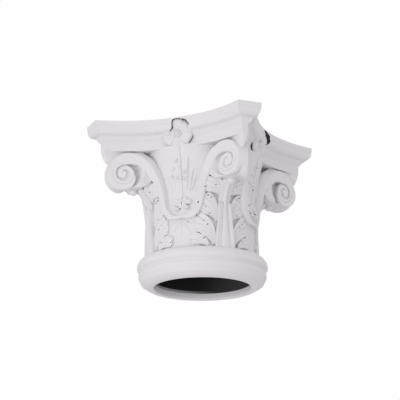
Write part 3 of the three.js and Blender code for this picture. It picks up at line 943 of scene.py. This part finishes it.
class CAPITAL_OT_casting(bpy.types.Operator):
    """Join the shapes at all four sides and corners into one casting, bore it and give it its finish"""

    bl_idname = "capital.casting"
    bl_label = "Casting"

    def execute(self, context):
        form = Form(context.scene)
        named = {piece.name: piece for piece in bpy.data.objects if piece.type == "MESH"}
        holes = [piece for name, piece in named.items() if name.startswith("drill_hole")]
        cut, bell, abacus = named["flower_cut"], named["bell"], named["abacus"]
        apart = {"flower_cut", "bell", "abacus", *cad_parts}
        carving = [
            piece for name, piece in named.items()
            if name not in apart and piece not in holes
        ]
        coat = primer_finish(context.scene.finish_choices, form)
        for piece in [bell, abacus, *carving]:
            piece.data.materials.append(coat)
        quarter = made_one("quarter", carving)
        # The drilled holes leave their walls with the tools' near-black painted shade.
        for hole in holes:
            combine(quarter, hole, "DIFFERENCE")
        casting = made_one(NODE + "_casting", [bell, abacus])
        turns = [Matrix.Rotation(side * TURN / SIDES, 4, "Z") for side in range(SIDES)]
        # The flower cuts leave their walls with the near-black painted shade.
        for turn in turns[1:]:
            combine(casting, copy_of(cut, turn), "DIFFERENCE")
        combine(casting, cut, "DIFFERENCE")
        for turn in turns[1:]:
            combine(casting, copy_of(quarter, turn), "UNION")
        combine(casting, quarter, "UNION")
        past = 5 * form.hundredth
        bore = turned("bore", [(form.bore_radius, z) for z in spread(-past, form.height + past, 24)], 144)
        bore.data.materials.append(coat)
        combine(casting, bore, "DIFFERENCE")
        choose(casting)
        bpy.ops.object.shade_smooth_by_angle(angle=math.radians(38))
        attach(casting, "root")
        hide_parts(NODE)
        return {"FINISHED"}


# Finishes

def new_finish(name):
    finish = bpy.data.materials.new(name)
    finish.use_nodes = True
    return finish, finish.node_tree, finish.node_tree.nodes["Principled BSDF"]


def feed(tree, socket, value):
    """Gives a socket a value, or links it to another node's output."""
    if isinstance(value, bpy.types.NodeSocket):
        tree.links.new(value, socket)
    else:
        socket.default_value = value


def step_of(tree, kind, settings, **choices):
    """A node of a kind, with its choices made and its named or numbered sockets fed."""
    step = tree.nodes.new(kind)
    for name, choice in choices.items():
        setattr(step, name, choice)
    for slot, value in settings.items():
        feed(tree, step.inputs[slot], value)
    return step


def noise(tree, place, scale, detail=2.0):
    sockets = {"Vector": place, "Scale": scale, "Detail": detail}
    return step_of(tree, "ShaderNodeTexNoise", sockets).outputs["Fac"]


def mixed(tree, share_of_second, first, second):
    sockets = {"Factor": share_of_second, "A": first, "B": second}
    return step_of(tree, "ShaderNodeMix", sockets, data_type="RGBA").outputs["Result"]


def reckoned(tree, operation, *terms):
    return step_of(tree, "ShaderNodeMath", dict(enumerate(terms)), operation=operation).outputs["Value"]


def ramp(tree, value, low, high, start=0.0, end=1.0):
    sockets = {"Value": value, "From Min": low, "From Max": high, "To Min": start, "To Max": end}
    return step_of(tree, "ShaderNodeMapRange", sockets, interpolation_type="SMOOTHSTEP").outputs["Result"]


def shaded(value, part):
    """A colour taken down to a part of itself."""
    return [channel * part for channel in value[:3]] + [1.0]


def painted_crevice_shade_finish(name):
    """Painted shade: a dark, dull colour for the inside of drilled marks and deep cuts, painted where shade
    would fall.
    """
    finish, tree, shader = new_finish(name)
    shader.inputs["Specular IOR Level"].default_value = 0.1
    shader.inputs["Roughness"].default_value = 0.9
    place = tree.nodes.new("ShaderNodeTexCoord").outputs["Object"]
    # Painted shade: two near-black tones, mixed at random by noise.
    darkest_painted_shade, edge = (0.03, 0.03, 0.03, 1.0), (0.09, 0.088, 0.09, 1.0)
    feed(tree, shader.inputs["Base Color"], mixed(tree, noise(tree, place, 120.0), darkest_painted_shade, edge))
    return finish


def primer_finish(choices, form):
    """White satin coat with fine casting pores, with a near-black painted shade inside the opening."""
    finish, tree, shader = new_finish("white_primer")
    shader.inputs["Specular IOR Level"].default_value = 0.35
    place = tree.nodes.new("ShaderNodeTexCoord").outputs["Object"]
    clouds = noise(tree, place, 9.0, detail=3.0)
    tone = mixed(tree, clouds, shaded(choices.primer, 0.975), choices.primer)
    # Painted shade: inside the opening the coat gives way to a near-black colour.
    dark, depth = opening_shade(tree, place, choices, form)
    feed(tree, shader.inputs["Base Color"], mixed(tree, dark, tone, depth))

    wear = {"Value": clouds, "To Min": choices.roughness - 0.06, "To Max": choices.roughness + 0.08}
    feed(tree, shader.inputs["Roughness"], step_of(tree, "ShaderNodeMapRange", wear).outputs["Result"])

    pores = {"Strength": 0.12, "Distance": 0.4 * form.hundredth, "Height": noise(tree, place, 260.0)}
    feed(tree, shader.inputs["Normal"], step_of(tree, "ShaderNodeBump", pores).outputs["Normal"])
    return finish


def opening_shade(tree, place, choices, form):
    """Painted shade inside the opening, as a mask over the coat and a colour: near black above a white lip,
    painted greyer just over the lip on the camera's left side, and graded from blacker on the camera's left
    to greyer on its right.
    """
    h = form.hundredth
    lip_top, sliver_top = 12.0 * h, 16.5 * h
    x, y, z = step_of(tree, "ShaderNodeSeparateXYZ", {"Vector": place}).outputs
    squares = reckoned(tree, "ADD", reckoned(tree, "MULTIPLY", x, x), reckoned(tree, "MULTIPLY", y, y))
    span = reckoned(tree, "SQRT", squares)
    # Place across the opening, towards the camera's right.
    aside = reckoned(tree, "ADD", reckoned(tree, "MULTIPLY", x, math.cos(SIDE_TURN)),
                     reckoned(tree, "MULTIPLY", y, math.sin(SIDE_TURN)))
    inside = reckoned(tree, "LESS_THAN", span, form.bore_radius + 0.3 * h)
    above = ramp(tree, z, lip_top, lip_top + 1.2 * h)
    # Painted light: a paler sliver just over the lip, on the camera's left side.
    sliver = reckoned(tree, "MULTIPLY", ramp(tree, aside, -60 * h, 40 * h, 0.45, 0.0),
                      ramp(tree, z, sliver_top, sliver_top + 2.5 * h, 1.0, 0.0))
    dark = reckoned(tree, "MULTIPLY", reckoned(tree, "MULTIPLY", inside, above),
                    reckoned(tree, "SUBTRACT", 1.0, sliver))
    # Painted shade graded across the opening: blacker to the camera's left, greyer to its right.
    across = ramp(tree, aside, -10 * h, 95 * h)
    return dark, mixed(tree, across, shaded(choices.hollow, 0.1), choices.hollow)


class CAPITAL_OT_stage(bpy.types.Operator):
    """Lay the pale floor, and set the studio light and the camera"""

    bl_idname = "capital.stage"
    bl_label = "Studio"

    floor_height = -1.2
    floor_size = 14.0
    azimuth = SIDE_TURN
    elevation = math.radians(-16.73)
    distance = 3.281
    target_height = 0.2064
    lens = 141.1
    shift = (-0.0051, -0.0184)
    roll = math.radians(-0.3)
    soft_strength = 0.70
    # Soft boxes: azimuth from the camera, elevation, distance, size and power.
    boxes = [
        (-36, -24, 3.0, 2.6, 44.0),
        (20, 62, 3.2, 2.4, 9.0),
        (62, -12, 3.2, 2.4, 5.0),
    ]

    def execute(self, context):
        scene = context.scene
        self.floor(scene.finish_choices)
        self.lights(scene)
        self.camera(scene)
        scene.view_settings.view_transform = "Standard"
        scene.view_settings.look = "None"
        return {"FINISHED"}

    def direction(self, azimuth, elevation):
        return Vector((
            math.sin(azimuth) * math.cos(elevation),
            -math.cos(azimuth) * math.cos(elevation),
            math.sin(elevation),
        ))

    def floor(self, choices):
        clear_selection()
        bpy.ops.mesh.primitive_grid_add(
            x_subdivisions=8, y_subdivisions=8, size=self.floor_size, location=(0, 0, self.floor_height))
        floor = bpy.context.object
        floor.name = "studio_floor"
        bpy.ops.object.transform_apply(location=True, rotation=True, scale=True)
        finish, tree, shader = new_finish("pale_floor")
        shader.inputs["Roughness"].default_value = 0.8
        place = tree.nodes.new("ShaderNodeTexCoord").outputs["Object"]
        tone = mixed(tree, noise(tree, place, 1.5), shaded(choices.floor, 0.97), choices.floor)
        feed(tree, shader.inputs["Base Color"], tone)
        floor.data.materials.append(finish)

    def lights(self, scene):
        world = bpy.data.worlds.new("studio")
        world.use_nodes = True
        scene.world = world
        tree = world.node_tree
        seen = tree.nodes["Background"]
        seen.inputs["Color"].default_value = scene.finish_choices.backdrop
        seen.inputs["Strength"].default_value = 1.0
        soft = step_of(tree, "ShaderNodeBackground", {
            "Color": (1.0, 0.985, 1.0, 1.0), "Strength": self.soft_strength,
        })
        path = tree.nodes.new("ShaderNodeLightPath")
        choice = step_of(tree, "ShaderNodeMixShader", {
            "Fac": path.outputs["Is Camera Ray"],
            1: soft.outputs["Background"],
            2: seen.outputs["Background"],
        })
        feed(tree, tree.nodes["World Output"].inputs["Surface"], choice.outputs["Shader"])
        middle = Vector((0, 0, self.target_height))
        for number, (azimuth, elevation, distance, size, power) in enumerate(self.boxes):
            back = self.direction(self.azimuth + math.radians(azimuth), math.radians(elevation))
            lamp = bpy.data.lights.new(f"soft_box_{number}", "AREA")
            lamp.size, lamp.energy = size, power
            box = bpy.data.objects.new(lamp.name, lamp)
            bpy.context.collection.objects.link(box)
            box.location = middle + back * distance
            box.rotation_mode = "QUATERNION"
            box.rotation_quaternion = back.to_track_quat("Z", "Y")

    def camera(self, scene):
        lens = bpy.data.cameras.new("studio_camera")
        lens.lens = self.lens
        lens.sensor_width = 36.0
        lens.shift_x, lens.shift_y = self.shift
        lens.clip_start, lens.clip_end = 0.05, 60.0
        camera = bpy.data.objects.new("studio_camera", lens)
        bpy.context.collection.objects.link(camera)
        back = self.direction(self.azimuth, self.elevation)
        camera.location = Vector((0, 0, self.target_height)) + back * self.distance
        camera.rotation_mode = "QUATERNION"
        camera.rotation_quaternion = back.to_track_quat("Z", "Y") @ Quaternion((0, 0, 1), self.roll)
        scene.camera = camera


class CAPITAL_PT_panel(bpy.types.Panel):
    """Steps and choices of the capital, in the 3D view's sidebar"""

    bl_label = "Corinthian Capital"
    bl_idname = "CAPITAL_PT_panel"
    bl_space_type = "VIEW_3D"
    bl_region_type = "UI"
    bl_category = "Capital"

    def draw(self, context):
        for operator in STEPS:
            self.layout.operator(operator.bl_idname)
        for name in GROUPS:
            group = getattr(context.scene, name)
            box = self.layout.box()
            for field in group.__annotations__:
                box.prop(group, field)


STEPS = [
    CAPITAL_OT_turned, CAPITAL_OT_abacus, CAPITAL_OT_volutes, CAPITAL_OT_corner_leaf, CAPITAL_OT_side_carving,
    CAPITAL_OT_rosette, CAPITAL_OT_casting, CAPITAL_OT_stage,
]
GROUPS = {"capital_sizes": CapitalSizes, "carving_sizes": CarvingSizes, "finish_choices": FinishChoices}


def register():
    for group in GROUPS.values():
        bpy.utils.register_class(group)
    for name, group in GROUPS.items():
        setattr(bpy.types.Scene, name, bpy.props.PointerProperty(type=group))
    for step in STEPS:
        bpy.utils.register_class(step)
    bpy.utils.register_class(CAPITAL_PT_panel)


def unregister():
    bpy.utils.unregister_class(CAPITAL_PT_panel)
    for step in reversed(STEPS):
        bpy.utils.unregister_class(step)
    for name, group in GROUPS.items():
        delattr(bpy.types.Scene, name)
        bpy.utils.unregister_class(group)


def main():
    register()
    bpy.ops.capital.turned()
    bpy.ops.capital.abacus()
    bpy.ops.capital.volutes()
    bpy.ops.capital.corner_leaf()
    bpy.ops.capital.side_carving()
    bpy.ops.capital.rosette()
    bpy.ops.capital.casting()
    bpy.ops.capital.stage()


if __name__ == "__main__":
    main()
